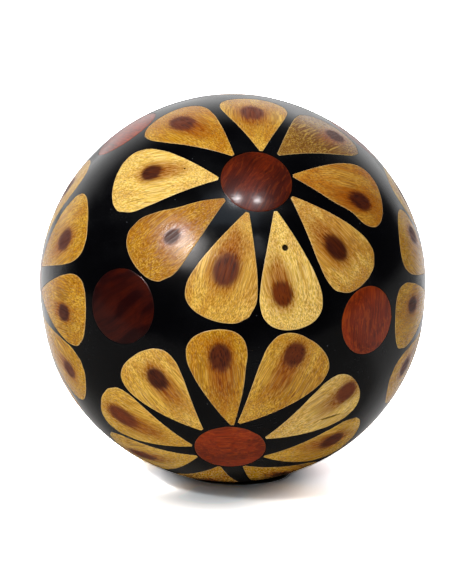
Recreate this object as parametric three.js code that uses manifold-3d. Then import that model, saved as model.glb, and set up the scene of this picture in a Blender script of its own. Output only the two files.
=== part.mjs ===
// A four-inch decorative ball: black cast resin with wood inlays lying flush in its skin.
//
// The pattern follows a cube. At each of the six face centres is a flower, a round redwood eye with
// nine bamboo petals, and at each of the eight corners is a redwood disc. Every inlay sits in a
// pocket with a thin glue line round and under it. They were laid by hand, so each petal has its own
// turn, reach and width; flowers at the back repeat the petals of the ones in front.
//
// Millimetres, +Z up, the front towards -Y. The origin is the middle of the small flat that the ball
// stands on. A place on the ball is given by its turn, in degrees round +Z from the front towards
// +X, and its rise, in degrees above the middle. Inside a flower a place is given by its reach, in
// millimetres along the skin from the flower's centre, and its turn round that centre, in degrees
// counter-clockwise as seen from outside, with 90 towards the top of the ball.
//
// The nine petals of the lower back flower are not among these solids.

import * as THREE from 'three';
import { ConvexGeometry } from 'three/addons/geometries/ConvexGeometry.js';
import { mergeVertices } from 'three/addons/utils/BufferGeometryUtils.js';
import Module from 'manifold-3d';

// Driving dimensions
const ballRadius = 50;
const flatRadius = 6; // of the flat that keeps the ball from rolling
const glueLine = 0.3; // left free round and under each inlay
const eyeRadius = 8.8; // of a flower's eye, along the skin
const inlayDepth = 4.5; // from the skin over an inlay's middle to its floor
const petalTipHalfWidth = 0.35; // the tips are a little blunt
const buttRoundness = 5; // a petal widens evenly, then rounds off; more makes squarer shoulders
const dentSpread = 0.12; // length of a dent in a petal's side, as a share of the petal's length
const straightSteps = 3; // of a petal's side up to where it starts to round off
const roundSteps = 5; // and from there to the middle of its end
const pointsPerDisc = 18;
const pointsOnFlat = 16;
const fillerSpacing = 7; // of the plain points that round off the skin between outlines
const sliver = 0.01; // edges shorter than this are closed up after a cut

const centreHeight = Math.sqrt(ballRadius ** 2 - flatRadius ** 2);
const ballCentre = new THREE.Vector3(0, 0, centreHeight);

// Petals: tip and end are [reach, turn]; wide is how far the petal spreads to the left and to the
// right of its middle line, looking from tip to end; dent is [share of the length, depth] of a
// hollow in its right side.
const upperFrontPetals = [
  { tip: [9.7, 8], end: [37.1, 0], wide: [9.9, 9.6], dent: [0.55, 1.2] },
  { tip: [9.8, 329], end: [38.2, 318.5], wide: [9, 9] },
  { tip: [9.8, 292], end: [39.6, 280], wide: [9.2, 8.1] },
  { tip: [9.7, 249], end: [38.2, 247.3], wide: [9.3, 9.7] },
  { tip: [10, 209], end: [37.9, 203], wide: [10.2, 8.4], dent: [0.45, 0.8] },
  { tip: [9.7, 171], end: [38.6, 163.5], wide: [9.9, 10.6] },
  { tip: [9.7, 120], end: [39.4, 122], wide: [9.4, 9.4] },
  { tip: [9.7, 75], end: [37.1, 82], wide: [9.1, 9.1] },
  { tip: [10.6, 50], end: [40.4, 41.5], wide: [9.6, 9.6] },
];
const lowerFrontPetals = [
  { tip: [9.7, 86], end: [37, 97], wide: [8.1, 8.1], dent: [0.6, 0.4] },
  { tip: [10.6, 77], end: [38.2, 53.5], wide: [9.5, 10] },
  { tip: [9.9, 23], end: [36.8, 17], wide: [8.9, 7.9] },
  { tip: [9.8, 332], end: [37.2, 340], wide: [10.2, 9.1] },
  { tip: [9.8, 291], end: [36, 301], wide: [9, 9] },
  { tip: [9.8, 253], end: [36, 256.5], wide: [9, 9] },
  { tip: [9.7, 208], end: [37.2, 213], wide: [9.3, 9.3] },
  { tip: [9.7, 178], end: [35.8, 173.5], wide: [9.4, 9.6] },
  { tip: [10.2, 133.5], end: [36.2, 135], wide: [9.4, 8.9] },
];
const turned = (petal, turn) => ({
  ...petal,
  tip: [petal.tip[0], petal.tip[1] + turn - petal.end[1]],
  end: [petal.end[0], turn],
});
const leftPetals = [
  { tip: [9.7, 45], end: [36.4, 45.5], wide: [10.2, 9.8] },
  { tip: [9.7, 4], end: [36.5, 1.5], wide: [9.8, 9.5] },
  { tip: [9.7, 325], end: [36.9, 324], wide: [9.3, 9.3] },
  turned(lowerFrontPetals[5], 286),
  turned(lowerFrontPetals[8], 245.5),
  turned(lowerFrontPetals[2], 206),
  turned(lowerFrontPetals[7], 167),
  turned(lowerFrontPetals[0], 128),
  turned(lowerFrontPetals[4], 90),
];
const rightPetals = [
  { tip: [10, 174], end: [35.7, 180.5], wide: [8.7, 9.2] },
  { tip: [9.7, 137], end: [33.5, 138.5], wide: [8.8, 9.2] },
  turned(lowerFrontPetals[5], 98.5),
  turned(lowerFrontPetals[8], 58.5),
  turned(lowerFrontPetals[4], 18),
  turned(lowerFrontPetals[0], 338.5),
  turned(lowerFrontPetals[2], 298.5),
  turned(lowerFrontPetals[7], 258.5),
  { tip: [9.7, 216], end: [36.4, 218.5], wide: [9.2, 9.2] },
];
const backUpperTurn = -5; // the upper back flower is the lower front one, turned by this

const direction = (turn, rise) => {
  const t = THREE.MathUtils.degToRad(turn);
  const r = THREE.MathUtils.degToRad(rise);
  return new THREE.Vector3(Math.sin(t) * Math.cos(r), -Math.cos(t) * Math.cos(r), Math.sin(r));
};

const flowers = {
  upper_front: { centre: direction(10.2, 47.4), petals: upperFrontPetals },
  lower_front: { centre: direction(-1, -39.3), petals: lowerFrontPetals },
  left: { centre: direction(-89.5, 1.4), petals: leftPetals },
  right: { centre: direction(96, -1.8), petals: rightPetals },
  back_upper: {
    centre: direction(179, 39.3),
    petals: lowerFrontPetals.map((petal) => turned(petal, petal.end[1] + backUpperTurn)),
  },
  back_lower: { centre: direction(190.2, -47.4), petals: [] },
};
const between = (...names) =>
  names.reduce((sum, name) => sum.add(flowers[name].centre), new THREE.Vector3()).normalize();
const corners = [
  { centre: direction(-34.2, 7.2), radius: 9.3 },
  { centre: direction(42.9, 1.6), radius: 8.5 },
  { centre: direction(-88, 56.5), radius: 8.8 },
  { centre: direction(103.5, 49), radius: 8.7 },
  { centre: between('lower_front', 'back_lower', 'left'), radius: 8.6 },
  { centre: between('lower_front', 'back_lower', 'right'), radius: 8.8 },
  { centre: between('back_upper', 'back_lower', 'left'), radius: 8.9 },
  { centre: between('back_upper', 'back_lower', 'right'), radius: 8.7 },
];

// Colours and finishes
const resin = { color: 0x0b0b0d, roughness: 0.16, metalness: 0 };
const bamboo = { color: 0xc99440, roughness: 0.3, metalness: 0 };
const redwood = { color: 0x6e2412, roughness: 0.25, metalness: 0 };

// The right-handed axes of a place on the ball: to the right, towards the top, and outwards.
function axesAt(centre) {
  const right = new THREE.Vector3(0, 0, 1).cross(centre).normalize();
  return [right, centre.clone().cross(right), centre];
}

// The direction of a point that lies x to the right and y above a centre, measured along the skin.
function onSkin([right, up, out], x, y) {
  const angle = Math.hypot(x, y) / ballRadius;
  const turn = Math.atan2(y, x);
  return out.clone().multiplyScalar(Math.cos(angle))
    .addScaledVector(right, Math.sin(angle) * Math.cos(turn))
    .addScaledVector(up, Math.sin(angle) * Math.sin(turn));
}

function discOutline(axes, radius) {
  return Array.from({ length: pointsPerDisc }, (_, i) => {
    const turn = (2 * Math.PI * i) / pointsPerDisc;
    return onSkin(axes, radius * Math.cos(turn), radius * Math.sin(turn));
  });
}

// Half the width of a petal at a share s of its length, for a side that spreads by wide.
function petalHalfWidth(s, wide, blunt) {
  const widestAt = (2 / (2 + buttRoundness)) ** (1 / buttRoundness);
  const widest = widestAt * Math.sqrt(1 - widestAt ** buttRoundness);
  const taper = (wide / widest) * s + blunt * (1 - s);
  return taper * Math.sqrt(1 - s ** buttRoundness);
}

// A petal's outline, counter-clockwise from the right of its tip, made larger all round by grow.
function petalOutline(axes, petal, grow) {
  const [tip, end] = [petal.tip, petal.end].map(([reach, turn]) => {
    const t = THREE.MathUtils.degToRad(turn);
    return new THREE.Vector2(reach * Math.cos(t), reach * Math.sin(t));
  });
  const along = end.clone().sub(tip).normalize();
  const length = end.distanceTo(tip) + 2 * grow;
  tip.addScaledVector(along, -grow);
  const point = (s, side) => {
    const wide = petal.wide[side > 0 ? 0 : 1] + grow;
    let across = petalHalfWidth(s, wide, petalTipHalfWidth + grow);
    if (petal.dent && side < 0) {
      across -= petal.dent[1] * Math.exp(-(((s - petal.dent[0]) / dentSpread) ** 2));
    }
    const x = tip.x + along.x * s * length - along.y * side * across;
    const y = tip.y + along.y * s * length + along.x * side * across;
    return onSkin(axes, x, y);
  };
  const rounding = Array.from({ length: roundSteps }, (_, i) => {
    const left = (Math.PI / 2) * (1 - (i + 1) / (roundSteps + 1));
    return Math.cos(left) ** (2 / buttRoundness);
  });
  const straight = Array.from({ length: straightSteps }, (_, i) => (rounding[0] * i) / straightSteps);
  const shares = [...straight, ...rounding];
  const rightSide = shares.map((s) => point(s, -1));
  const leftSide = shares.map((s) => point(s, 1)).reverse();
  return [...rightSide, point(1, 1), ...leftSide];
}

// Every inlay: its name, its finish, the middle of its outline and a function for the outline.
function listInlays() {
  const inlays = [];
  for (const [flower, { centre, petals }] of Object.entries(flowers)) {
    const axes = axesAt(centre);
    inlays.push({
      name: `${flower}_eye`, finish: redwood, outline: (grow) => discOutline(axes, eyeRadius + grow),
    });
    petals.forEach((petal, i) => inlays.push({
      name: `${flower}_petal_${i + 1}`, finish: bamboo, outline: (grow) => petalOutline(axes, petal, grow),
    }));
  }
  corners.forEach(({ centre, radius }, i) => {
    const axes = axesAt(centre);
    inlays.push({
      name: `corner_disc_${i + 1}`, finish: redwood, outline: (grow) => discOutline(axes, radius + grow),
    });
  });
  for (const inlay of inlays) {
    const rim = inlay.outline(0);
    inlay.middle = rim.reduce((sum, p) => sum.add(p), new THREE.Vector3()).normalize();
  }
  return inlays;
}

const wasm = await Module();
wasm.setup();

function toSolid(geometry) {
  const bare = geometry.clone();
  bare.deleteAttribute('normal');
  bare.deleteAttribute('uv');
  const merged = mergeVertices(bare);
  return new wasm.Manifold(new wasm.Mesh({
    numProp: 3,
    vertProperties: merged.getAttribute('position').array,
    triVerts: Uint32Array.from(merged.getIndex().array),
  }));
}

function toGeometry(solid) {
  const mesh = solid.getMesh();
  const geometry = new THREE.BufferGeometry();
  geometry.setAttribute('position', new THREE.BufferAttribute(mesh.vertProperties, 3));
  geometry.setIndex(new THREE.BufferAttribute(mesh.triVerts, 1));
  geometry.computeVertexNormals();
  return geometry;
}

// The whole ball as one convex solid whose corners lie on the outlines of the inlays and pockets.
function wholeBall(inlays) {
  const points = inlays.flatMap(({ outline }) => [...outline(0), ...outline(glueLine)])
    .map((p) => p.multiplyScalar(ballRadius));
  const rimCount = points.length;
  const fillers = Math.round((4 * Math.PI * ballRadius ** 2) / (fillerSpacing ** 2 * Math.sqrt(0.75)));
  const goldenTurn = Math.PI * (3 - Math.sqrt(5));
  for (let i = 0; i < fillers; i += 1) {
    const z = 1 - (2 * i + 1) / fillers;
    const flatwise = Math.sqrt(1 - z * z);
    const point = new THREE.Vector3(
      flatwise * Math.cos(i * goldenTurn), flatwise * Math.sin(i * goldenTurn), z,
    ).multiplyScalar(ballRadius);
    const clearOfRims = points.slice(0, rimCount).every((p) => p.distanceTo(point) > fillerSpacing / 2);
    const overFlat = Math.hypot(point.x, point.y) < flatRadius + fillerSpacing / 3 && point.z < 0;
    if (clearOfRims && !overFlat) points.push(point);
  }
  for (let i = 0; i < pointsOnFlat; i += 1) {
    const turn = (2 * Math.PI * i) / pointsOnFlat;
    points.push(new THREE.Vector3(
      flatRadius * Math.cos(turn), flatRadius * Math.sin(turn), -centreHeight,
    ));
  }
  return toSolid(new ConvexGeometry(points));
}

// A wedge whose sides all point at the ball's centre, from the inlay's floor to above the skin.
function wedge(rim, middle, depth) {
  const [right, up, out] = axesAt(middle);
  const shape = new THREE.Shape(rim.map((p) => {
    const toPlane = ballRadius / p.dot(out);
    return new THREE.Vector2(p.dot(right) * toPlane, p.dot(up) * toPlane);
  }));
  const aboveSkin = 1;
  const geometry = new THREE.ExtrudeGeometry(shape, { depth: depth + aboveSkin, bevelEnabled: false });
  const position = geometry.getAttribute('position');
  for (let i = 0; i < position.count; i += 1) {
    const z = position.getZ(i) + ballRadius - depth;
    const scale = z / ballRadius;
    position.setXYZ(i, position.getX(i) * scale, position.getY(i) * scale, z);
  }
  return toSolid(geometry.applyMatrix4(new THREE.Matrix4().makeBasis(right, up, out)));
}

function named(name, solid, { color, roughness, metalness }, turnedTo) {
  const place = turnedTo ? new THREE.Matrix4().makeBasis(...axesAt(turnedTo)) : new THREE.Matrix4();
  const geometry = toGeometry(solid.asOriginal().simplify(sliver)).applyMatrix4(place.clone().invert());
  const mesh = new THREE.Mesh(geometry, new THREE.MeshStandardMaterial({ color, roughness, metalness }));
  mesh.name = name;
  mesh.applyMatrix4(place);
  return mesh;
}

const inlays = listInlays();
const whole = wholeBall(inlays);
const pockets = inlays.map(({ outline, middle }) => wedge(outline(glueLine), middle, inlayDepth + glueLine));

const aboutCentre = new THREE.Group(); // everything in it is built about the ball's centre
aboutCentre.position.copy(ballCentre);
aboutCentre.add(named('ball', whole.subtract(wasm.Manifold.union(pockets)), resin));
for (const { name, finish, outline, middle } of inlays) {
  aboutCentre.add(named(name, whole.intersect(wedge(outline(0), middle, inlayDepth)), finish, middle));
}
const group = new THREE.Group();
group.add(aboutCentre);

export default group;
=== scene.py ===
import bpy
import bmesh
import math
import numpy as np
from mathutils import Matrix, Vector


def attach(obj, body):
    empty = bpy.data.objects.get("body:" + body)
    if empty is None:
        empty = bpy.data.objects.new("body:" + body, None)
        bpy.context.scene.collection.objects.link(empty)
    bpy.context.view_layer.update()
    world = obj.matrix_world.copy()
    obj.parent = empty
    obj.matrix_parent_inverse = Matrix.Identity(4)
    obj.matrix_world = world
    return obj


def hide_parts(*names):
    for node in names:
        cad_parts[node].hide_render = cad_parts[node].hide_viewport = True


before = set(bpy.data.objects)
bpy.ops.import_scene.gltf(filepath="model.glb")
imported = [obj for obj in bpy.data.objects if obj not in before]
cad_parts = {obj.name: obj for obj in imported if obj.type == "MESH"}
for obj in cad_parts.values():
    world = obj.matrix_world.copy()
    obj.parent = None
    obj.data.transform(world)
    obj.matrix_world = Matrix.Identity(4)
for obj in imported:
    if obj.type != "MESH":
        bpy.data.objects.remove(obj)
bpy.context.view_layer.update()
mm = 0.001
flatTop = 0.01 * mm  # everything lower than this is the flat
print("frame loaded:", len(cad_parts), "nodes")


# the ball's place, read from the frame

def findBall():
    # the flat lies on z = 0; the corners that reach the skin lie on one sphere through the flat's rim
    skinFrom = 20 * mm
    points = np.array([v.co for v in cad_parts["ball"].data.vertices])
    flatRim = points[points[:, 2] < flatTop]
    flatRadius = float(np.hypot(flatRim[:, 0], flatRim[:, 1]).max())
    skin = points[points[:, 2] > skinFrom]
    lift = float((((skin ** 2).sum(axis=1) - flatRadius ** 2) / (2 * skin[:, 2])).max())
    return math.hypot(lift, flatRadius), flatRadius, Vector((0, 0, lift))


radius, flatRadius, centre = findBall()
print("ball radius", round(radius / mm, 2), "mm, centre at", round(centre.z / mm, 2), "mm")

ballShape = {
    "fineness": 7,  # subdivisions of the sphere
    "lumps": [  # where the hand-turned ball is a little flatter: turn, rise, spread in degrees, depth in mm
        (90, -4, 10, 0.5), (-90, -9, 12, 0.7), (-90, 45, 8, 0.45), (90, 67, 9, 0.5),
        (30, -60, 14, 0.3), (-40, 30, 16, 0.2), (175, 10, 20, 0.35),
    ],
}


def toDirection(turn, rise):
    # turn 0 faces the front (-Y) and 90 faces +X
    a, e = math.radians(turn), math.radians(rise)
    return Vector((math.sin(a) * math.cos(e), -math.cos(a) * math.cos(e), math.sin(e)))


lumpPlaces = [(toDirection(turn, rise), math.radians(spread), depth * mm)
              for turn, rise, spread, depth in ballShape["lumps"]]


def skinPoint(direction, height=0.0):
    # a point over or under the skin, on the slightly uneven ball
    direction = Vector(direction).normalized()
    sink = sum(depth * math.exp(-(direction.angle(place) / spread) ** 2)
               for place, spread, depth in lumpPlaces)
    return centre + direction * (radius - sink + height)


# outlines of the inlays, read from the frame

def readRim(node):
    # the loop of edges between the skin and the wall of a CAD inlay, as directions from the centre
    mergeGap, facesOut = 0.002 * mm, 0.7
    bm = bmesh.new()
    bm.from_mesh(node.data)
    bmesh.ops.remove_doubles(bm, verts=bm.verts, dist=mergeGap)
    bm.normal_update()

    def isSkin(face):
        return face.normal.dot((face.calc_center_median() - centre).normalized()) > facesOut

    rimEdges = {e for e in bm.edges if len(e.link_faces) == 2
                and isSkin(e.link_faces[0]) != isSkin(e.link_faces[1])}
    start = min(rimEdges, key=lambda e: e.index)
    loop = [start.verts[0], start.verts[1]]
    while True:
        onward = [e.other_vert(loop[-1]) for e in loop[-1].link_edges
                  if e in rimEdges and e.other_vert(loop[-1]) is not loop[-2]]
        if not onward or onward[0] is loop[0]:
            break
        loop.append(onward[0])
    rim = np.array([(v.co - centre).normalized() for v in loop])
    bm.free()
    middle = rim.mean(axis=0)
    if np.cross(rim, np.roll(rim, -1, axis=0)).sum(axis=0) @ middle < 0:
        rim = rim[::-1]  # always counter-clockwise, seen from outside
    return rim


def unit(vectors):
    return vectors / np.linalg.norm(vectors, axis=-1, keepdims=True)


def smoothRim(rim, spacing=0.7 * mm):
    # one smooth curve through the corners that the outline turns at; a petal's tip stays sharp
    before, after = unit(rim - np.roll(rim, 1, axis=0)), unit(np.roll(rim, -1, axis=0) - rim)
    turning = np.degrees(np.arccos(np.clip((before * after).sum(axis=1), -1, 1)))
    bends = turning > fit["straight"]
    rim, turning = rim[bends], turning[bends]
    ahead = np.roll(rim, -1, axis=0) - rim
    length = np.linalg.norm(ahead, axis=1)
    back, backLength = np.roll(ahead, 1, axis=0), np.roll(length, 1)
    slope = (back / backLength[:, None] * length[:, None] + ahead / length[:, None] * backLength[:, None])
    slope /= (length + backLength)[:, None]
    points = []
    for i in range(len(rim)):
        j = (i + 1) % len(rim)
        leave = slope[i] if turning[i] < fit["sharp"] else ahead[i] / length[i]
        arrive = slope[j] if turning[j] < fit["sharp"] else ahead[i] / length[i]
        steps = max(1, round(length[i] * radius / spacing))
        for k in range(steps):
            t = k / steps
            points.append((2 * t ** 3 - 3 * t ** 2 + 1) * rim[i] + (3 * t ** 2 - 2 * t ** 3) * rim[j]
                          + (t ** 3 - 2 * t ** 2 + t) * length[i] * leave
                          + (t ** 3 - t ** 2) * length[i] * arrive)
    return unit(np.array(points))


def growRim(rim, amount):
    # moves the outline outwards along the skin
    along = unit(np.roll(rim, -1, axis=0) - np.roll(rim, 1, axis=0))
    return unit(rim + np.cross(along, rim) * amount / radius)


def skinAxes(direction):
    # right and up along the skin, seen from outside
    right = Vector((0, 0, 1)).cross(direction).normalized()
    return right, direction.cross(right)


def onSkin(flower, across, up):
    # the direction of a place so many millimetres right of and above a flower's centre
    right, upward = skinAxes(flower)
    reach = math.hypot(across, up) * mm
    aim = (right * across + upward * up).normalized()
    return flower * math.cos(reach / radius) + aim * math.sin(reach / radius)


fit = {
    "discGrowth": 0.2,      # the discs' CAD outline has few sides and runs inside the real circle
    "petalGrowth": 0.1,
    "glueLine": 0.05,       # what shows of the joint between wood and resin
    "inlayDepth": 4.2,
    "pocketDepth": 4.5,
    "cutterHeight": 4,      # how far the pocket cutter reaches over the skin
    "straight": 1.5,        # an outline that turns by fewer degrees at a corner runs straight on there
    "sharp": 40,            # and one that turns by more keeps its corner
}


def growthOf(name):
    return fit["petalGrowth" if "petal" in name else "discGrowth"] * mm


rims = {name: growRim(smoothRim(readRim(node)), growthOf(name))
        for name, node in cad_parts.items() if name != "ball"}
flowers = {name[:-4]: Vector(rim.mean(axis=0)).normalized()
           for name, rim in rims.items() if name.endswith("_eye")}
print("outlines read:", len(rims), "and flowers:", sorted(flowers))


# the petals of the lower back flower

backFlower = {
    "copied": "right", "onto": "back_lower",
    "turn": -8,             # degrees that the copied pattern is turned by
    "tip": 9.7,             # where the tips stay, in mm from the flower's centre
    "clearance": 0.8,       # to any other inlay, in mm
    "flatClearance": 1.2,
    "shortest": 0.5,        # share of its length that a petal may be cut down to
    "cut": 0.02,            # share that is cut off at a time
}


def movePetal(rim, share):
    # turns a petal's outline onto the other flower, shortens it towards its tip, and narrows it half as much
    source, target = flowers[backFlower["copied"]], flowers[backFlower["onto"]]
    right, up = (np.array(a) for a in skinAxes(source))
    newRight, newUp = (np.array(a) for a in skinAxes(target))
    along = np.arccos(np.clip(rim @ np.array(source), -1, 1)) * radius / mm
    angle = np.arctan2(rim @ up, rim @ right) + math.radians(backFlower["turn"])
    axis = math.atan2(np.sin(angle).mean(), np.cos(angle).mean())
    reach = (backFlower["tip"] + (along - backFlower["tip"]) * share) * mm / radius
    angle = axis + (angle - axis) * (0.5 + 0.5 * share) * along.clip(1) / (reach * radius / mm).clip(1)
    aim = np.cos(angle)[:, None] * newRight + np.sin(angle)[:, None] * newUp
    return unit(np.cos(reach)[:, None] * np.array(target) + np.sin(reach)[:, None] * aim)


def fitBackPetals():
    # lays the copied petals one by one, each cut down until it is clear of its neighbours and the flat
    down = np.array([0, 0, -1.0])
    eye = backFlower["onto"] + "_eye"
    made = {}
    for number in range(1, 10):
        source = rims[f"{backFlower['copied']}_petal_{number}"]
        share = 1.0
        while share > backFlower["shortest"]:
            tried = movePetal(source, share)
            others = np.vstack([rim for name, rim in {**rims, **made}.items() if name != eye])
            nearest = np.sqrt((2 - 2 * tried @ others.T).clip(0)).min() * radius / mm
            toFlat = (np.arccos(tried @ down).min() * radius - flatRadius) / mm
            if nearest > backFlower["clearance"] and toFlat > backFlower["flatClearance"]:
                break
            share -= backFlower["cut"]
        print("back petal", number, "share", round(share, 2), "nearest", round(nearest, 2))
        made[f"{backFlower['onto']}_petal_{number}"] = tried
    return made


rims.update(fitBackPetals())


# inlays

inlay = {
    "edge": [(0.0, -0.06), (0.05, -0.025), (0.14, -0.005), (0.35, 0.0), (0.7, 0.0)],  # inset, height in mm
    "rings": 10,
    "crown": 0.02,          # mm that the middle stands over the skin
    "sear": 0.05,           # mm that a scorch mark is sunk
}


def ringOut(bm, ring, points):
    # extrudes a loop of vertices once and lays the new loop on the points
    old = {v: i for i, v in enumerate(ring)}
    edges = [e for v in ring for e in v.link_edges if all(w in old for w in e.verts)]
    made = bmesh.ops.extrude_edge_only(bm, edges=list(dict.fromkeys(edges)))["geom"]
    fresh = [None] * len(ring)
    for vert in (g for g in made if isinstance(g, bmesh.types.BMVert)):
        for edge in vert.link_edges:
            if edge.other_vert(vert) in old:
                fresh[old[edge.other_vert(vert)]] = vert
    for vert, point in zip(fresh, points):
        vert.co = point
    return fresh


def closeRing(bm, ring, middle=None):
    # fills a loop, with a vertex in the middle if a place is given for it
    face = bmesh.ops.contextual_create(bm, geom=ring)["faces"][0]
    if middle is not None:
        hub = bmesh.ops.poke(bm, faces=[face])["verts"][0]
        hub.co = middle


def startRing(bm, points):
    ring = bmesh.ops.create_circle(bm, segments=len(points), radius=radius)["verts"]
    for vert, point in zip(ring, points):
        vert.co = point
    return ring


def buildCutter(rims, low, high):
    # one closed prism for each outline, from under the skin to over it
    bm = bmesh.new()
    for rim in rims:
        middle = Vector(unit(rim.mean(axis=0)))
        ring = startRing(bm, [centre + Vector(d) * (radius + low) for d in rim])
        closeRing(bm, ring, centre + middle * (radius + low))
        ring = ringOut(bm, ring, [centre + Vector(d) * (radius + high) for d in rim])
        closeRing(bm, ring, centre + middle * (radius + high))
    bmesh.ops.recalc_face_normals(bm, faces=bm.faces)
    return toObject(bm, "pocketCutter")


def toObject(bm, name):
    mesh = bpy.data.meshes.new(name)
    bm.to_mesh(mesh)
    bm.free()
    made = bpy.data.objects.new(name, mesh)
    bpy.context.scene.collection.objects.link(made)
    return made


def carve(piece, cutter):
    # cuts the cutter out of the piece for good
    cut = piece.modifiers.new("cut", "BOOLEAN")
    cut.solver = "MANIFOLD"
    cut.object = cutter
    bpy.context.view_layer.update()
    carved = bpy.data.meshes.new_from_object(piece.evaluated_get(bpy.context.evaluated_depsgraph_get()))
    piece.modifiers.clear()
    piece.data = carved
    bpy.data.objects.remove(cutter)


def finishShading(piece, material, sharpAngle=35):
    piece.data.materials.clear()
    piece.data.materials.append(material)
    piece.data.shade_smooth()
    piece.data.set_sharp_from_angle(angle=math.radians(sharpAngle))
    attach(piece, "root")


def setVectors(piece, name, values):
    layer = piece.data.attributes.new(name, "FLOAT_VECTOR", "POINT")
    layer.data.foreach_set("vector", np.asarray(values, np.float32).ravel())


def listHeights(rim, middle):
    # (share of the way out, height in mm) for each ring, from the edge to the middle
    local = np.linalg.norm(rim - middle, axis=1) * radius / mm
    rows = [(1 - inset / local, height) for inset, height in inlay["edge"]]
    innermost = 1 - inlay["edge"][-1][0] / local
    for k in range(1, inlay["rings"]):
        left = 1 - k / inlay["rings"]
        rows.append((innermost * left, inlay["crown"] * (1 - left ** 2)))
    return rows


def buildInlay(name, rim, sear=None):
    # floor, wall, rounded edge and crowned top of one inlay, all laid from its outline
    middle = unit(rim.mean(axis=0))
    bm = bmesh.new()
    floor = [skinPoint(d, -fit["inlayDepth"] * mm) for d in rim]
    ring = startRing(bm, floor)
    closeRing(bm, ring, skinPoint(middle, -fit["inlayDepth"] * mm))
    for share, height in listHeights(rim, middle):
        directions = unit(middle + (rim - middle) * np.reshape(share, (-1, 1)))
        sunk = [inlay["sear"] * sear(d) if sear else 0 for d in directions]
        ring = ringOut(bm, ring, [skinPoint(d, (height - s) * mm) for d, s in zip(directions, sunk)])
    top = inlay["crown"] - (inlay["sear"] * sear(middle) if sear else 0)
    closeRing(bm, ring, skinPoint(middle, top * mm))
    bmesh.ops.recalc_face_normals(bm, faces=bm.faces)
    return toObject(bm, name)


# scorch marks, cracks and worm holes of the petals

scorch = {
    "inset": 8.5,           # mm in from the butt on the petal's middle line, where nothing else is said
    "size": (2.9, 2.5),     # half length and half width in mm
    "tail": 0.8,            # how far the mark is drawn out towards the tip
    "depth": 0.85,          # how black it is burnt, from 0 to 1
    "spread": (0.12, 2.7),  # how much the sizes differ, and their pace from petal to petal
    "hollow": 1.4,          # how steeply the sunk mark rises again towards its outline
    # right and up from the flower's centre, half length and half width, tail, depth
    "upper_front": {
        1: (28.9, -2.5, 3.5, 2.7, 0.6, 1.0), 2: (19.6, -17.7, 3.9, 2.8, 0.7, 1.0),
        3: (4.1, -30.2, 3.2, 2.7, 1.1, 0.7), 4: (-10.4, -23.3, 4.2, 3.4, 0.8, 0.75),
        5: (-23.2, -11.9, 2.4, 1.9, 0.6, 1.0), 6: (-26.2, 8.9, 2.8, 2.5, 1.1, 0.95),
        7: (-15.8, 25.6, 4.2, 3.0, 0.6, 0.75), 8: (3.2, 26.3, 3.8, 3.1, 0.5, 0.65),
        9: (26.4, 21.4, 3.3, 2.7, 0.5, 0.9),
    },
    "lower_front": {
        1: (-2.3, 29.9, 3.5, 2.9, 1.6, 0.85), 2: (17.6, 28.5, 3.1, 2.9, 1.5, 0.75),
        3: (31.6, 11.0, 3.0, 2.8, 1.0, 0.5), 4: (27.2, -7.8, 3.4, 3.2, 0.8, 0.75),
        7: (-24.2, -15.4, 4.4, 2.2, 0.6, 0.55), 8: (-28.9, 2.7, 4.2, 3.2, 1.0, 0.6),
        9: (-19.1, 20.9, 3.2, 2.6, 1.1, 0.95),
    },
    "left": {
        1: (20.0, 17.7, 3.3, 2.8, 0.3, 0.85), 2: (27.1, -0.5, 2.8, 2.3, 0.3, 0.9),
        3: (24.8, -17.0, 2.5, 2.4, 0.6, 0.7),
    },
    "right": {
        1: (-26.5, 2.7, 2.7, 2.2, 0.4, 0.85), 2: (-16.2, 19.2, 2.8, 2.4, 0.4, 0.8),
        9: (-24.0, -15.4, 2.7, 2.7, 0.6, 0.7),
    },
}

flaws = {
    # right and up from the flower's centre in mm, radius and depth of the hole
    "holes": [("upper_front", 3, 5.3, -18.5, 0.9, 1.2), ("upper_front", 6, -17.4, 6.7, 0.28, 0.8)],
    "holeTaper": (0.75, 1.1),  # share of the radius at the hole's bottom and mouth
    # both ends of a crack, its half width and depth
    "cracks": [("upper_front", 6, (-35.0, 2.6), (-28.4, 1.4), 0.1, 0.5),
               ("lower_front", 3, (23.4, 5.2), (29.8, 3.8), 0.34, 2.0),
               ("lower_front", 4, (25.9, -4.9), (28.9, -3.8), 0.12, 0.6)],
}

tones = {  # redness 0 to 1 and lightness, from dull below 0 to pale over 1, of each petal
    "upper_front": {1: (0.85, 0.35), 2: (0.5, 0.75), 3: (0.1, 1.5), 4: (0.3, 0.6), 5: (0.55, -0.3),
                    6: (0.12, 1.5), 7: (0.45, 0.08), 8: (0.38, 0.3), 9: (0.3, -1.1)},
    "lower_front": {1: (0.35, -0.05), 2: (0.33, 0.3), 3: (0.12, 1.15), 4: (0.15, 0.3), 5: (0.15, -0.05),
                    6: (0.2, -0.2), 7: (0.05, 0.45), 8: (0.1, 0.35), 9: (0.2, 0.5)},
    "left": {1: (0.25, 0.05), 2: (0.25, -0.1), 3: (0.15, 0.0)},
    "right": {1: (0.3, 0.1), 2: (0.35, 0.1), 9: (0.3, 0.2)},
    # middle, swing and pace on all other petals
    "otherRed": (0.4, 0.25, 2.4), "otherLight": (0.5, 0.2, 1.7),
}


def splitName(name):
    flower, number = name.split("_petal_")
    return flower, int(number)


def petalFrame(name, rim):
    # middle, fibre direction (tip to butt) and the direction across it
    flower = flowers[splitName(name)[0]]
    middle = Vector(unit(rim.mean(axis=0)))
    along = (middle - flower * middle.dot(flower)).normalized()
    along = (along - middle * along.dot(middle)).normalized()
    return middle, along, middle.cross(along)


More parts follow.
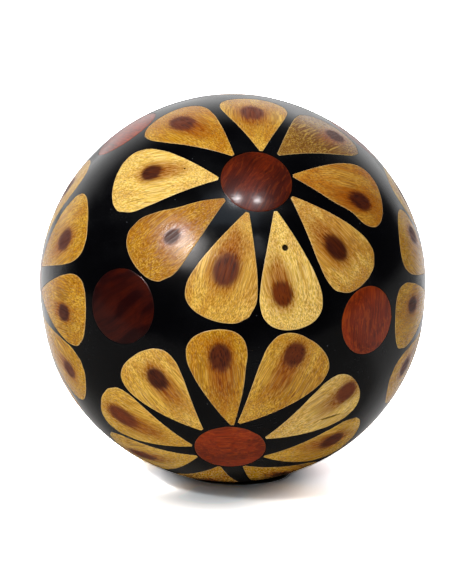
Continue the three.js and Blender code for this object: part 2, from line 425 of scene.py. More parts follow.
def findScorch(name, rim):
    flower, number = splitName(name)
    middle, along, across = petalFrame(name, rim)
    if number in scorch.get(flower, {}):
        right, up, long, wide, tail, depth = scorch[flower][number]
        place = onSkin(flowers[flower], right, up)
    else:
        butt = Vector(max(rim, key=lambda d: Vector(d).dot(along)))
        back = scorch["inset"] * mm / radius
        place = (middle * middle.dot(butt) + along * along.dot(butt)).normalized()
        place = (place - along * back).normalized()
        spread, pace = scorch["spread"]
        long, wide = (s * (1 + spread * math.sin(number * pace)) for s in scorch["size"])
        tail, depth = scorch["tail"], scorch["depth"]
    return place, along, across, (long, wide, tail), depth


def markAt(offset, along, across, size):
    # along and across, reaching 1 at the mark's outline, and how far it is drawn out towards the tip
    long, wide, tail = size
    return offset.dot(along) / (long * mm), offset.dot(across) / (wide * mm), tail


def buildPetal(name, rim):
    place, along, across, size, depth = findScorch(name, rim)
    spot = place * radius

    def sear(direction):
        x, y = markAt(Vector(direction) * radius - spot, along, across, size)[:2]
        return math.exp(-scorch["hollow"] * (x * x + y * y))

    piece = buildInlay(name + "_bamboo", rim, sear)
    return piece, (place, along, across, size, depth)


def setGrain(piece, points, axes, seed):
    # coordinates along the fibres, across them and outwards in mm; the seed gives each piece its own fibres
    along, across, outward = axes
    setVectors(piece, "fibre", [(p.dot(along) / mm + seed.x, p.dot(across) / mm + seed.y,
                                 p.dot(outward) / mm + seed.z) for p in points])


def setEdge(piece, points, rim):
    # distance from the rim and depth under the skin, in mm
    gaps = [np.linalg.norm(rim - unit(np.array(p)), axis=1).min() * radius / mm for p in points]
    depths = [((skinPoint(p) - centre).length - p.length) / mm for p in points]
    setVectors(piece, "edge", [(gap, depth, 0) for gap, depth in zip(gaps, depths)])


def toneOf(name, index):
    flower, number = splitName(name)
    middleRed, swingRed, paceRed = tones["otherRed"]
    middleLight, swingLight, paceLight = tones["otherLight"]
    other = (middleRed + swingRed * math.sin(index * paceRed),
             middleLight + swingLight * math.sin(index * paceLight))
    return tones.get(flower, {}).get(number, other)


def markPetal(piece, rim, name, mark, index):
    # gives the petal its fibre and scorch coordinates, its tone, and the distance from edge and skin
    place, along, across, size, depth = mark
    middle, grain, side = petalFrame(name, rim)
    points = [v.co - centre for v in piece.data.vertices]
    setGrain(piece, points, (grain, side, middle), Vector(bamboo["nextPetal"]) * (index + 1))
    setVectors(piece, "scorch", [markAt(p - place * radius, along, across, size) for p in points])
    red, light = toneOf(name, index)
    setVectors(piece, "tone", [(red, light, depth) for p in points])
    setEdge(piece, points, rim)


def drillFlaws(petals):
    bottom, mouth = flaws["holeTaper"]
    for flower, number, right, up, wide, deep in flaws["holes"]:
        outward = onSkin(flowers[flower], right, up)
        turn = outward.to_track_quat("Z", "Y").to_matrix().to_4x4()
        bm = bmesh.new()
        place = Matrix.Translation(skinPoint(outward)) @ turn
        bmesh.ops.create_cone(bm, cap_ends=True, segments=24, radius1=bottom * wide * mm,
                              radius2=mouth * wide * mm, depth=2 * deep * mm, matrix=place)
        carve(petals[f"{flower}_petal_{number}"], toObject(bm, "holeCutter"))
    for flower, number, start, end, wide, deep in flaws["cracks"]:
        a, b = (onSkin(flowers[flower], *spot) for spot in (start, end))
        outward, along = (a + b).normalized(), (b - a).normalized()
        turn = Matrix((along, outward.cross(along), outward)).transposed().to_4x4()
        size = Matrix.Diagonal(((b - a).length * radius / 2, wide * mm, deep * mm, 1))
        bm = bmesh.new()
        bmesh.ops.create_icosphere(bm, subdivisions=3, radius=1,
                                   matrix=Matrix.Translation(skinPoint(outward)) @ turn @ size)
        carve(petals[f"{flower}_petal_{number}"], toObject(bm, "crackCutter"))


# shader helpers

def fillInputs(tree, node, inputs):
    # a socket is linked, anything else is set as the input's own value
    for key, value in (inputs or {}).items():
        if isinstance(value, bpy.types.NodeSocket):
            tree.links.new(value, node.inputs[key])
        else:
            node.inputs[key].default_value = value
    return node


def put(tree, kind, inputs=None, **settings):
    made = tree.nodes.new("ShaderNode" + kind)
    for key, value in settings.items():
        setattr(made, key, value)
    return fillInputs(tree, made, inputs)


def useGroup(tree, group, inputs):
    made = tree.nodes.new("ShaderNodeGroup")
    made.node_tree = group
    return fillInputs(tree, made, inputs).outputs


def calc(tree, operation, a, b=0.0, clamp=False):
    return put(tree, "Math", {0: a, 1: b}, operation=operation, use_clamp=clamp).outputs[0]


def plus(tree, a, b, clamp=False):
    return calc(tree, "ADD", a, b, clamp)


def minus(tree, a, b, clamp=False):
    return calc(tree, "SUBTRACT", a, b, clamp)


def times(tree, a, b, clamp=False):
    return calc(tree, "MULTIPLY", a, b, clamp)


def step(tree, value, low, high):
    # 0 at low and 1 at high, with soft ends
    made = put(tree, "MapRange", {"Value": value, "From Min": low, "From Max": high},
               interpolation_type="SMOOTHSTEP")
    return made.outputs["Result"]


def noise(tree, place, scale, detail, roughness=0.5):
    return put(tree, "TexNoise", {"Vector": place, "Scale": scale, "Detail": detail,
                                  "Roughness": roughness}).outputs


def mixColour(tree, share, a, b):
    return put(tree, "Mix", {0: share, 6: a, 7: b}, data_type="RGBA").outputs[2]


def readVector(tree, name):
    return put(tree, "Attribute", attribute_name=name).outputs["Vector"]


def splitVector(tree, vector):
    return put(tree, "SeparateXYZ", {0: vector}).outputs


def firstChannel(tree, tint):
    return put(tree, "SeparateColor", {0: tint}).outputs[0]


def colour(red, green, blue):
    # a screen colour, 0 to 255, as the linear value that the shader wants
    def linear(c):
        c /= 255
        return c / 12.92 if c <= 0.04045 else ((c + 0.055) / 1.055) ** 2.4
    return (linear(red), linear(green), linear(blue), 1)


def startGroup(name, inputs, outputs):
    tree = bpy.data.node_groups.new(name, "ShaderNodeTree")
    for label, kind, value in inputs:
        socket = tree.interface.new_socket(label, in_out="INPUT", socket_type="NodeSocket" + kind)
        if value is not None:
            socket.default_value = value
    for label, kind in outputs:
        tree.interface.new_socket(label, in_out="OUTPUT", socket_type="NodeSocket" + kind)
    return tree, tree.nodes.new("NodeGroupInput").outputs, tree.nodes.new("NodeGroupOutput").inputs


def startMaterial(name):
    material = bpy.data.materials.new(name)
    material.use_nodes = True
    tree = material.node_tree
    tree.nodes.clear()
    shader = put(tree, "BsdfPrincipled")
    out = put(tree, "OutputMaterial")
    tree.links.new(shader.outputs[0], out.inputs["Surface"])
    return material, tree, shader


# wood fibres and hand polish, shared by the materials

fibreLook = {
    "depthSqueeze": 2.6,    # how much finer the fibres are from the skin inwards
    "detail": 3.0, "roughness": 0.65, "lines": (0.38, 0.64), "dots": (0.5, 0.14),
    "bandWidth": 0.16, "bandDetail": 2.0, "bands": (0.35, 0.65),
}


def buildFibreGroup():
    # long wood fibres along X: lines where they run in the surface, dots where it cuts them
    tree, given, out = startGroup(
        "fibres", [("Place", "Vector", None), ("Fineness", "Float", 2.0), ("Length", "Float", 14.0)],
        [("Lines", "Float"), ("Dots", "Float"), ("Bands", "Float")])
    fineness = given["Fineness"]
    squeeze = calc(tree, "DIVIDE", 1.0, given["Length"])
    scale = put(tree, "CombineXYZ", {"X": squeeze, "Y": 1.0, "Z": fibreLook["depthSqueeze"]}).outputs[0]
    drawn = put(tree, "VectorMath", {0: given["Place"], 1: scale}, operation="MULTIPLY").outputs[0]
    lines = noise(tree, drawn, fineness, fibreLook["detail"], fibreLook["roughness"])
    tree.links.new(step(tree, lines["Fac"], *fibreLook["lines"]), out["Lines"])
    cells = put(tree, "TexVoronoi", {"Vector": drawn, "Scale": fineness})
    tree.links.new(step(tree, cells.outputs["Distance"], *fibreLook["dots"]), out["Dots"])
    bands = noise(tree, drawn, times(tree, fineness, fibreLook["bandWidth"]), fibreLook["bandDetail"])
    tree.links.new(step(tree, bands["Fac"], *fibreLook["bands"]), out["Bands"])
    return tree


polishLook = {
    "wave": 0.16, "waveDetail": 2.0,
    "hairTurn": (0.4, 0.7, 0.3), "hairStretch": (0.12, 4.0, 1.2), "hairDetail": 2.0, "hairRoughness": 0.6,
    "hairs": (0.66, 0.74), "hairDepth": 0.02, "hairHaze": 0.4,
    "cloud": 0.07, "cloudDetail": 3.0, "clouds": (0.4, 0.7),
    "dust": 0.5, "dustSize": (0.09, 0.04), "dustShare": (0.72, 0.78),
}


def buildPolishGroup():
    # what sanding and lacquering by hand leave: a slow wave, hair scratches and dust specks
    tree, given, out = startGroup(
        "handPolish", [("Place", "Vector", None), ("Wave", "Float", 1.0), ("Scratch", "Float", 1.0)],
        [("Height", "Float"), ("Haze", "Float"), ("Specks", "Float")])
    wave = noise(tree, given["Place"], polishLook["wave"], polishLook["waveDetail"])["Fac"]
    bent = put(tree, "Mapping", {"Vector": given["Place"], "Rotation": polishLook["hairTurn"],
                                 "Scale": polishLook["hairStretch"]}).outputs[0]
    hairs = noise(tree, bent, 1.0, polishLook["hairDetail"], polishLook["hairRoughness"])["Fac"]
    scratches = step(tree, hairs, *polishLook["hairs"])
    tall = times(tree, wave, given["Wave"])
    cut = times(tree, times(tree, scratches, given["Scratch"]), polishLook["hairDepth"])
    tree.links.new(minus(tree, tall, cut), out["Height"])
    cloud = noise(tree, given["Place"], polishLook["cloud"], polishLook["cloudDetail"])["Fac"]
    haze = plus(tree, step(tree, cloud, *polishLook["clouds"]),
                times(tree, scratches, polishLook["hairHaze"]), True)
    tree.links.new(haze, out["Haze"])
    dust = put(tree, "TexVoronoi", {"Vector": given["Place"], "Scale": polishLook["dust"]}).outputs
    small = step(tree, dust["Distance"], *polishLook["dustSize"])
    rare = step(tree, firstChannel(tree, dust["Color"]), *polishLook["dustShare"])
    tree.links.new(times(tree, small, rare), out["Specks"])
    return tree


fibres = buildFibreGroup()
handPolish = buildPolishGroup()
lacquerRelief = 0.05 * mm  # height of the bump where a height of 1 is fed in


def raiseSurface(tree, shader, height):
    bump = put(tree, "Bump", {"Height": height, "Strength": 1.0, "Distance": lacquerRelief})
    tree.links.new(bump.outputs[0], shader.inputs["Normal"])


# bamboo

bamboo = {
    "straw": colour(255, 212, 100), "honey": colour(200, 146, 24), "amber": colour(176, 94, 0),
    "dull": colour(116, 80, 34), "line": colour(112, 60, 6), "pale": colour(255, 232, 170),
    # the last colour on the next line is painted shade for the deep walls of holes and cracks
    "rim": colour(236, 208, 150), "pore": colour(52, 30, 8), "holeShade": colour(60, 50, 32),
    "coarse": {"Fineness": 2.3, "Length": 20.0}, "fine": {"Fineness": 3.8, "Length": 36.0},
    "nextPetal": (17.3, 29.1, 11.7),            # where the next petal is cut from the fibres
    "patch": 0.11, "patchSwing": 0.9, "dullness": 0.9, "bandSwing": 0.5, "redness": 0.8,
    "dots": 0.62, "dotsLostOnPale": 0.26, "fineLines": 0.42, "coarseLines": 0.34,
    "coarseLineEnds": (0.35, 0.95),
    "paleFrom": (0.3, 1.1), "shineEnds": (0.4, 0.05), "shine": 0.42, "shineLostOnRed": 0.34,
    "rimEnds": (0.32, 0.08), "rimShare": 0.32,
    "pits": 0.42, "pitShare": (0.7, 0.75), "pitSize": (0.1, 0.05), "pitDark": 0.8, "holeShadeFrom": (0.15, 0.5),
    "roughness": 0.12, "lineRoughness": 0.22, "charRoughness": 0.22, "specular": 0.38,
    "polish": {"Wave": 0.6, "Scratch": 0.6},
    "fineRelief": 0.1, "coarseRelief": 0.16, "pitRelief": 0.6, "dotRelief": 0.12,
}

burnLook = {
    "char": colour(42, 2, 0), "ember": colour(116, 46, 0), "singe": colour(150, 74, 4),
    "haloTail": 1.1, "haloSqueeze": 1.15, "haloFray": 0.9,
    "coreTail": 0.1, "coreSqueeze": 1.0, "coreFray": 0.14, "tailFray": 0.4,
    "singeEnds": (1.9, 0.5), "singeShare": 0.75,
    "smokeEnds": (1.9, 0.7), "smokeLines": (0.42, 0.75), "smokeShare": 0.8,
    "blackFrom": (0.35, 1.05), "dotBlack": 0.5, "frayBlack": 0.3,
    "coreEnds": (1.2, 0.7), "coreShare": 0.96,
}


def tintBamboo(tree, tone, inset, place, coarse, fine):
    # ground colour: dull to honey to straw by lightness, to amber by redness, each in slow patches
    patch = noise(tree, place, bamboo["patch"], 2.0)["Fac"]
    level = plus(tree, tone[1], times(tree, minus(tree, patch, 0.5), bamboo["patchSwing"]))
    light = times(tree, level, 1.0, True)
    dull = times(tree, level, -bamboo["dullness"], True)
    red = plus(tree, tone[0], times(tree, minus(tree, coarse["Bands"], 0.5), bamboo["bandSwing"]), True)
    ground = mixColour(tree, light, bamboo["honey"], bamboo["straw"])
    ground = mixColour(tree, times(tree, red, bamboo["redness"]), ground, bamboo["amber"])
    ground = mixColour(tree, dull, ground, bamboo["dull"])
    dots = minus(tree, bamboo["dots"], times(tree, light, bamboo["dotsLostOnPale"]))
    ground = mixColour(tree, times(tree, coarse["Dots"], dots), ground, bamboo["line"])
    ground = mixColour(tree, times(tree, fine["Lines"], bamboo["fineLines"]), ground, bamboo["line"])
    lines = step(tree, coarse["Lines"], *bamboo["coarseLineEnds"])
    ground = mixColour(tree, times(tree, lines, bamboo["coarseLines"]), ground, bamboo["line"])
    glints = mixColour(tree, step(tree, level, *bamboo["paleFrom"]), bamboo["straw"], bamboo["pale"])
    between = step(tree, fine["Lines"], *bamboo["shineEnds"])
    shine = minus(tree, bamboo["shine"], times(tree, red, bamboo["shineLostOnRed"]))
    ground = mixColour(tree, times(tree, between, shine), ground, glints)
    edge = times(tree, step(tree, inset, *bamboo["rimEnds"]), bamboo["rimShare"])
    return mixColour(tree, edge, ground, bamboo["rim"])


def markDistance(tree, mark, pull, squeeze):
    # 1 on the mark's outline; pull says how much of its tail counts, squeeze narrows it
    ahead = calc(tree, "MAXIMUM", mark[0], 0.0)
    behind = calc(tree, "MINIMUM", mark[0], 0.0)
    stretch = plus(tree, 1.0, times(tree, mark[2], pull))
    along = plus(tree, ahead, calc(tree, "DIVIDE", behind, stretch))
    across = times(tree, mark[1], squeeze)
    flat = put(tree, "CombineXYZ", {"X": along, "Y": across}).outputs[0]
    return put(tree, "VectorMath", {0: flat}, operation="LENGTH").outputs["Value"]


def burnBamboo(tree, ground, mark, depth, coarse, fine):
    # scorch mark: a round core, with a halo that the fibres draw out towards the tip
    bothLines = times(tree, plus(tree, fine["Lines"], coarse["Lines"]), 0.5)
    fray = minus(tree, bothLines, 0.5)
    halo = markDistance(tree, mark, burnLook["haloTail"], burnLook["haloSqueeze"])
    halo = plus(tree, halo, times(tree, fray, burnLook["haloFray"]))
    core = markDistance(tree, mark, burnLook["coreTail"], burnLook["coreSqueeze"])
    ragged = times(tree, step(tree, mark[0], 0.0, -1.0), burnLook["tailFray"])
    ragged = plus(tree, burnLook["coreFray"], ragged)
    core = plus(tree, core, times(tree, fray, ragged))
    singed = times(tree, step(tree, halo, *burnLook["singeEnds"]), burnLook["singeShare"])
    ground = mixColour(tree, singed, ground, burnLook["singe"])
    smoke = times(tree, step(tree, halo, *burnLook["smokeEnds"]),
                  step(tree, fine["Lines"], *burnLook["smokeLines"]))
    ground = mixColour(tree, times(tree, smoke, burnLook["smokeShare"]), ground, burnLook["ember"])
    hollow = times(tree, minus(tree, core, 0.5), minus(tree, 1.0, depth))
    burn = plus(tree, step(tree, depth, *burnLook["blackFrom"]), hollow)
    burn = plus(tree, burn, times(tree, minus(tree, coarse["Dots"], 0.3), burnLook["dotBlack"]))
    burn = plus(tree, burn, times(tree, fray, burnLook["frayBlack"]), True)
    scorched = mixColour(tree, burn, burnLook["ember"], burnLook["char"])
    charred = step(tree, core, *burnLook["coreEnds"])
    return mixColour(tree, times(tree, charred, burnLook["coreShare"]), ground, scorched), charred


def buildBamboo():
    material, tree, shader = startMaterial("scorchedBamboo")
    place = readVector(tree, "fibre")
    mark = splitVector(tree, readVector(tree, "scorch"))
    tone = splitVector(tree, readVector(tree, "tone"))
    inset, sunk = splitVector(tree, readVector(tree, "edge"))[:2]
    coarse = useGroup(tree, fibres, {"Place": place, **bamboo["coarse"]})
    fine = useGroup(tree, fibres, {"Place": place, **bamboo["fine"]})
    ground = tintBamboo(tree, tone, inset, place, coarse, fine)
    ground, charred = burnBamboo(tree, ground, mark, tone[2], coarse, fine)
    pits = put(tree, "TexVoronoi", {"Vector": place, "Scale": bamboo["pits"]}).outputs
    rare = step(tree, firstChannel(tree, pits["Color"]), *bamboo["pitShare"])
    pores = times(tree, step(tree, pits["Distance"], *bamboo["pitSize"]), rare)
    ground = mixColour(tree, times(tree, pores, bamboo["pitDark"]), ground, bamboo["pore"])
    # painted shade: the deeper a point lies under the skin, in the drilled holes and cracks, the darker it
    # is painted
    ground = mixColour(tree, step(tree, sunk, *bamboo["holeShadeFrom"]), ground, bamboo["holeShade"])
    tree.links.new(ground, shader.inputs["Base Color"])
    rough = plus(tree, bamboo["roughness"], times(tree, coarse["Lines"], bamboo["lineRoughness"]))
    rough = plus(tree, rough, times(tree, charred, bamboo["charRoughness"]))
    tree.links.new(rough, shader.inputs["Roughness"])
    polish = useGroup(tree, handPolish, {"Place": place, **bamboo["polish"]})
    height = plus(tree, polish["Height"], times(tree, fine["Lines"], bamboo["fineRelief"]))
    height = plus(tree, height, times(tree, coarse["Lines"], bamboo["coarseRelief"]))
    height = minus(tree, height, times(tree, pores, bamboo["pitRelief"]))
    height = minus(tree, height, times(tree, coarse["Dots"], bamboo["dotRelief"]))
    raiseSurface(tree, shader, height)
    shader.inputs["Specular IOR Level"].default_value = bamboo["specular"]
    return material


# redwood

redwood = {
    "dark": colour(28, 0, 0), "bright": colour(166, 54, 0), "vein": colour(32, 2, 0),
    "streak": colour(196, 84, 10), "rim": colour(150, 70, 24),
    "coarse": {"Fineness": 1.3, "Length": 11.0}, "fine": {"Fineness": 3.0, "Length": 24.0},
    "nextDisc": (23.9, 13.3, 31.1),             # where the next disc is cut from the plank
    "bend": 0.08, "bendBy": (4.0, 4.0, 4.0),
    "years": {"Scale": 0.42, "Distortion": 2.4, "Detail": 3.0, "Detail Scale": 2.0},
    "swing": 0.16, "swingOnLight": 0.3, "yearDark": 0.3, "dotDark": 0.45, "lineDark": 0.3,
    "streakEnds": (0.25, 0.0), "streakShare": 0.4, "rimEnds": (0.35, 0.1), "rimShare": 0.5,
    "roughness": 0.29, "hazeRoughness": 0.1, "specular": 0.22, "lacquer": 0.5, "lacquerRoughness": 0.14,
    "polish": {"Wave": 0.5, "Scratch": 0.5}, "lineRelief": 0.07,
    "grain": {  # grain turn in degrees and lightness 0 to 1 of each disc and eye
        "upper_front_eye": (56, 0.24), "lower_front_eye": (4, 0.76), "corner_disc_1": (35, 0.02),
        "corner_disc_2": (84, 0.8), "corner_disc_3": (20, 0.75), "corner_disc_4": (70, 0.6),
    },
    "otherTurn": 40, "otherLight": (0.25, 0.5, 0.75),  # of all the others, from piece to piece
}


def buildRedwood():
    material, tree, shader = startMaterial("redwood")
    place = readVector(tree, "fibre")
    lightness = splitVector(tree, readVector(tree, "tone"))[1]
    inset = splitVector(tree, readVector(tree, "edge"))[0]
    slow = noise(tree, place, redwood["bend"], 1.0)["Color"]
    bend = put(tree, "VectorMath", {0: slow, 1: redwood["bendBy"]}, operation="MULTIPLY").outputs[0]
    bent = put(tree, "VectorMath", {0: place, 1: bend}, operation="ADD").outputs[0]
    grain = useGroup(tree, fibres, {"Place": bent, **redwood["coarse"]})
    fine = useGroup(tree, fibres, {"Place": bent, **redwood["fine"]})
    years = put(tree, "TexWave", {"Vector": bent, **redwood["years"]},
                wave_type="BANDS", bands_direction="Y", wave_profile="SAW").outputs["Fac"]
    swing = plus(tree, redwood["swing"], times(tree, lightness, redwood["swingOnLight"]))
    light = times(tree, minus(tree, grain["Bands"], 0.5), swing)
    light = plus(tree, lightness, light, True)
    ground = mixColour(tree, light, redwood["dark"], redwood["bright"])
    ground = mixColour(tree, times(tree, years, redwood["yearDark"]), ground, redwood["vein"])
    ground = mixColour(tree, times(tree, grain["Dots"], redwood["dotDark"]), ground, redwood["vein"])
    ground = mixColour(tree, times(tree, fine["Lines"], redwood["lineDark"]), ground, redwood["dark"])
    streaks = times(tree, step(tree, grain["Lines"], *redwood["streakEnds"]),
                    times(tree, lightness, redwood["streakShare"]))
    ground = mixColour(tree, streaks, ground, redwood["streak"])
    edge = times(tree, step(tree, inset, *redwood["rimEnds"]), lightness)
    ground = mixColour(tree, times(tree, edge, redwood["rimShare"]), ground, redwood["rim"])
    tree.links.new(ground, shader.inputs["Base Color"])
    polish = useGroup(tree, handPolish, {"Place": place, **redwood["polish"]})
    rough = plus(tree, redwood["roughness"], times(tree, polish["Haze"], redwood["hazeRoughness"]))
    tree.links.new(rough, shader.inputs["Roughness"])
    raiseSurface(tree, shader, plus(tree, polish["Height"],
                                    times(tree, fine["Lines"], redwood["lineRelief"])))
    shader.inputs["Specular IOR Level"].default_value = redwood["specular"]
    shader.inputs["Coat Weight"].default_value = redwood["lacquer"]
    shader.inputs["Coat Roughness"].default_value = redwood["lacquerRoughness"]
    return material


# black resin

resin = {
    "black": colour(1, 1, 2), "haze": colour(7, 8, 10), "speck": colour(90, 94, 98),
    "hazeShare": 0.6, "speckShare": 0.6, "roughness": 0.16, "hazeRoughness": 0.12,
    "polish": {"Wave": 0.7, "Scratch": 1.2},
}


def buildResin():
    material, tree, shader = startMaterial("blackResin")
    place = put(tree, "TexCoord").outputs["Object"]
    place = put(tree, "Mapping", {"Vector": place, "Scale": (1 / mm,) * 3}).outputs[0]
    polish = useGroup(tree, handPolish, {"Place": place, **resin["polish"]})
    haze = times(tree, polish["Haze"], resin["hazeShare"])
    ground = mixColour(tree, haze, resin["black"], resin["haze"])
    specks = times(tree, polish["Specks"], resin["speckShare"])
    ground = mixColour(tree, specks, ground, resin["speck"])
    tree.links.new(ground, shader.inputs["Base Color"])
    rough = plus(tree, resin["roughness"], times(tree, polish["Haze"], resin["hazeRoughness"]))
    tree.links.new(rough, shader.inputs["Roughness"])
    raiseSurface(tree, shader, polish["Height"])
    return material


bambooMaterial, redwoodMaterial, resinMaterial = buildBamboo(), buildRedwood(), buildResin()
print("materials built")


# the pieces

def buildPetals():
    petals, marks = {}, {}
    names = [name for name in sorted(rims) if "_petal_" in name]
    for name in names:
        petals[name], marks[name] = buildPetal(name, rims[name])
    drillFlaws(petals)
    for index, name in enumerate(names):
        markPetal(petals[name], rims[name], name, marks[name], index)
        finishShading(petals[name], bambooMaterial)
        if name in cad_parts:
            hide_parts(name)
    return petals


def buildDiscs():
    discs = {}
    for index, name in enumerate(sorted(n for n in rims if "_petal_" not in n)):
        rim = rims[name]
        middle = Vector(unit(rim.mean(axis=0)))
        other = redwood["otherTurn"] * index, redwood["otherLight"][index % 3]
        turn, light = redwood["grain"].get(name, other)
        right, up = skinAxes(middle)
        grain = right * math.cos(math.radians(turn)) + up * math.sin(math.radians(turn))
        piece = buildInlay(name + "_redwood", rim)
        points = [v.co - centre for v in piece.data.vertices]
        seed = Vector(redwood["nextDisc"]) * (index + 1)
        setGrain(piece, points, (grain, middle.cross(grain), middle), seed)
        setVectors(piece, "tone", [(0.5, light, 1.0) for p in points])
        setEdge(piece, points, rim)
        finishShading(piece, redwoodMaterial)
        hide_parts(name)
        discs[name] = piece
    return discs


def buildBall():
    # a fine sphere with its flat, and a pocket under every inlay
    bm = bmesh.new()
    bmesh.ops.create_icosphere(bm, subdivisions=ballShape["fineness"], radius=radius,
                               matrix=Matrix.Translation(centre))
    cut = bmesh.ops.bisect_plane(bm, geom=bm.verts[:] + bm.edges[:] + bm.faces[:],
                                 plane_co=(0, 0, 0), plane_no=(0, 0, -1), clear_outer=True)
    loop = [e for e in cut["geom_cut"] if isinstance(e, bmesh.types.BMEdge)]
    bmesh.ops.edgeloop_fill(bm, edges=loop)
    bmesh.ops.triangulate(bm, faces=bm.faces)
    ball = toObject(bm, "ball_resin")
    pockets = [growRim(rim, fit["glueLine"] * mm) for rim in rims.values()]
    carve(ball, buildCutter(pockets, -fit["pocketDepth"] * mm, fit["cutterHeight"] * mm))
    for vert in ball.data.vertices:
        offset = vert.co - centre
        if vert.co.z > flatTop:  # the flat stays flat
            vert.co = skinPoint(offset, offset.length - radius)
    finishShading(ball, resinMaterial)
    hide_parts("ball")
    return ball


print("petals built:", len(buildPetals()))
print("discs and eyes built:", len(buildDiscs()))
print("ball carved:", len(buildBall().data.polygons), "faces")


# floor, room, lights and camera

stage = {
    "floorSize": 6.0, "floorFront": 0.16, "floorColour": (0.9, 0.9, 0.9, 1), "floorRoughness": 0.6,
    "contactShadow": (0.005, 0.005, 0.005, 1),        # painted contact shadow right under the ball
    "contactShadowEnds": (0.0125, 0.0150), "contactShadowMiddle": (-0.0015, 0.0, 0.0), "contactShadowDepth": 1.25,
    "shade": (0.65, 0.74, 0.81, 1),             # painted shadow round it
    "shadeEnds": (0.002, 0.034), "shadeMiddle": (0.005, 0.022, 0.0), "shadeDepth": 1.15,
    # beside is painted light that lifts the floor to white over the ball's real shadow at its sides
    "backdrop": (3.0, 3.0, 3.02, 1), "beside": (7.0, 7.0, 7.0, 1),
    "besideFrom": (0.009, 0.021), "besideDepth": (-0.022, -0.002),
    "mirroredWhite": (1.3, 1.3, 1.3, 1),        # what the ball mirrors of the floor
    "floorMirrored": (0.115, 0.113, 0.11, 1),   # and of the floor close by it
    "whiteFrom": (0.015, 0.05), "whiteBehind": (-0.06, 0.06), "whiteSlant": 0.6,
    "darkSide": (0.0, 0.09), "darkSlant": 0.8,  # where the unlit side of the room takes over
    "surround": (1.05, 1.05, 1.05, 1), "room": (0.02, 0.02, 0.025, 1),
    "surroundFrom": 0.38, "surroundTo": 0.88, "surroundAim": (-0.08, 0.02, -1),
    "darkRight": (0.55, 0.85), "darkShare": 0.85,
    "distance": 1.2, "elevation": 15.0, "focus": 287.2, "sensor": 36, "shift": (-0.0115, -0.0067),
    "clip": (0.05, 50),
}

lights = [  # name, direction from the ball, distance, size in m, watts, seen in reflections, tint
    ("key", (-0.51, 0.46, 0.73), 1.0, (0.24, 0.07), 5.0, True, (1.0, 0.98, 0.95)),
    ("window", (-0.43, 0.36, 0.83), 1.0, (0.32, 0.30), 1.6, True, (1.0, 0.95, 0.92)),
    ("ceilingLeft", (0.033, 0.794, 0.604), 1.4, (0.06, 0.04), 1.3, True, (1.0, 0.97, 0.98)),
    ("ceilingRight", (0.218, 0.782, 0.595), 1.4, (0.04, 0.04), 1.0, True, (1.0, 0.97, 0.98)),
    ("overhead", (0.0, 0.72, 0.69), 1.2, (0.6, 0.4), 0.55, True, (0.7, 0.85, 1.0)),
    ("smudge", (0.25, 0.41, 0.88), 1.2, (0.07, 0.22), 0.12, True, (0.85, 0.92, 1.0)),
    ("fill", (-0.12, 0.30, 0.95), 1.6, (1.2, 1.0), 7.6, False, (1.0, 1.0, 1.0)),
    ("top", (0.25, 1.0, 0.1), 1.6, (3.0, 2.4), 18.0, False, (1.0, 1.0, 1.0)),
]


def fromCamera(right, up, near):
    # a direction given as right, up and towards the camera, turned into the scene's own axes
    e = math.radians(stage["elevation"])
    aim = (right, up * math.sin(e) - near * math.cos(e), up * math.cos(e) + near * math.sin(e))
    return Vector(aim).normalized()


def lengthOf(tree, vector):
    return put(tree, "VectorMath", {0: vector}, operation="LENGTH").outputs["Value"]


def awayFrom(tree, place, patch):
    # 0 by the ball's foot and 1 further off, in a round patch
    spot = put(tree, "Mapping", {"Vector": place, "Location": stage[patch + "Middle"],
                                 "Scale": (1.0, stage[patch + "Depth"], 1.0)})
    return step(tree, lengthOf(tree, spot.outputs[0]), *stage[patch + "Ends"])


def paintFloor():
    # white with a painted shadow to the camera, lifted by painted light beside the ball, darker in the
    # ball's gloss, and plain to all other light
    material, tree, shader = startMaterial("paleFloor")
    ray = put(tree, "LightPath").outputs
    place = put(tree, "TexCoord").outputs["Object"]
    x, y = splitVector(tree, place)[:2]
    unlit = step(tree, minus(tree, x, times(tree, y, stage["darkSlant"])), *stage["darkSide"])
    slant = plus(tree, y, times(tree, x, stage["whiteSlant"]))
    share = times(tree, step(tree, lengthOf(tree, place), *stage["whiteFrom"]),
                  step(tree, slant, *stage["whiteBehind"]))
    share = minus(tree, share, times(tree, unlit, stage["darkShare"]), True)
    mirrored = mixColour(tree, share, stage["floorMirrored"], stage["mirroredWhite"])
    seen = mixColour(tree, awayFrom(tree, place, "shade"), stage["shade"], stage["backdrop"])
    # painted light: beside and behind the ball's foot the floor is lifted to white over its real shadow
    beside = step(tree, calc(tree, "ABSOLUTE", x), *stage["besideFrom"])
    beside = times(tree, beside, step(tree, y, *stage["besideDepth"]))
    seen = mixColour(tree, beside, seen, stage["beside"])
    # painted contact shadow: near black round the ball's foot, seen only by the camera
    seen = mixColour(tree, awayFrom(tree, place, "contactShadow"), stage["contactShadow"], seen)
    tone = mixColour(tree, ray["Is Glossy Ray"], stage["floorColour"], mirrored)
    tone = mixColour(tree, ray["Is Camera Ray"], tone, seen)
    tree.links.new(tone, shader.inputs["Base Color"])
    shader.inputs["Roughness"].default_value = stage["floorRoughness"]
    shader.inputs["Specular IOR Level"].default_value = 0.0
    return material


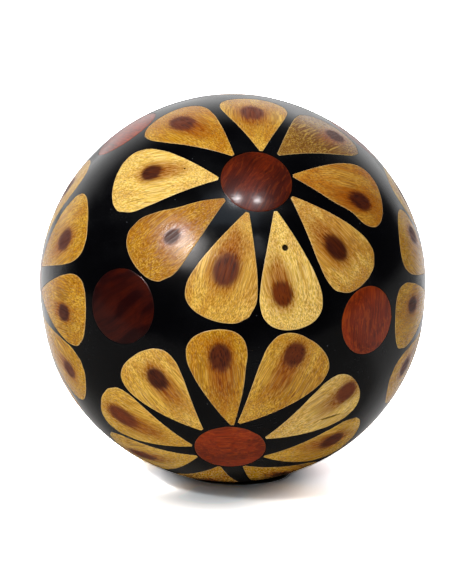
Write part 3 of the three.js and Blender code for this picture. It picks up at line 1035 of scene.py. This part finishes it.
def buildFloor():
    bm = bmesh.new()
    half = stage["floorSize"] / 2
    bmesh.ops.create_grid(bm, x_segments=1, y_segments=1, size=half,
                          matrix=Matrix.Translation((0, half - stage["floorFront"], 0)))
    floor = toObject(bm, "floor")
    floor.data.materials.append(paintFloor())


def buildRoom():
    # white behind the ball and to the camera, dark in front of it and on its right
    world = bpy.data.worlds.new("studio")
    world.use_nodes = True
    bpy.context.scene.world = world
    tree = world.node_tree
    tree.nodes.clear()
    aim = put(tree, "TexCoord").outputs["Generated"]

    def facing(direction):
        inputs = {0: aim, 1: tuple(fromCamera(*direction))}
        return put(tree, "VectorMath", inputs, operation="DOT_PRODUCT").outputs["Value"]

    share = step(tree, facing(stage["surroundAim"]), stage["surroundFrom"], stage["surroundTo"])
    aside = step(tree, facing((1, 0, 0)), *stage["darkRight"])
    share = minus(tree, share, times(tree, aside, stage["darkShare"]), True)
    seen = put(tree, "LightPath").outputs["Is Camera Ray"]
    share = calc(tree, "MAXIMUM", share, seen)
    tint = mixColour(tree, share, stage["room"], stage["surround"])
    back = put(tree, "Background", {"Color": tint, "Strength": 1.0})
    tree.links.new(back.outputs[0], put(tree, "OutputWorld").inputs["Surface"])


def aimAtBall(thing, outward, distance):
    # puts a lamp or the camera that far off in this direction
    thing.location = centre + outward * distance
    thing.rotation_mode = "QUATERNION"
    thing.rotation_quaternion = outward.to_track_quat("Z", "Y")
    bpy.context.scene.collection.objects.link(thing)


def hangLights():
    for name, direction, distance, size, watts, glossy, tint in lights:
        data = bpy.data.lights.new(name, "AREA")
        data.shape = "RECTANGLE"
        data.size, data.size_y = size
        data.energy, data.color = watts, tint
        lamp = bpy.data.objects.new(name, data)
        lamp.visible_glossy = glossy
        aimAtBall(lamp, fromCamera(*direction), distance)


def buildCamera():
    data = bpy.data.cameras.new("camera")
    data.lens, data.sensor_width = stage["focus"], stage["sensor"]
    data.shift_x, data.shift_y = stage["shift"]
    data.clip_start, data.clip_end = stage["clip"]
    camera = bpy.data.objects.new("camera", data)
    aimAtBall(camera, fromCamera(0, 0, 1), stage["distance"])
    bpy.context.scene.camera = camera
    bpy.context.scene.view_settings.view_transform = "Standard"


buildFloor()
buildRoom()
hangLights()
buildCamera()
print("floor, room, lights and camera ready")
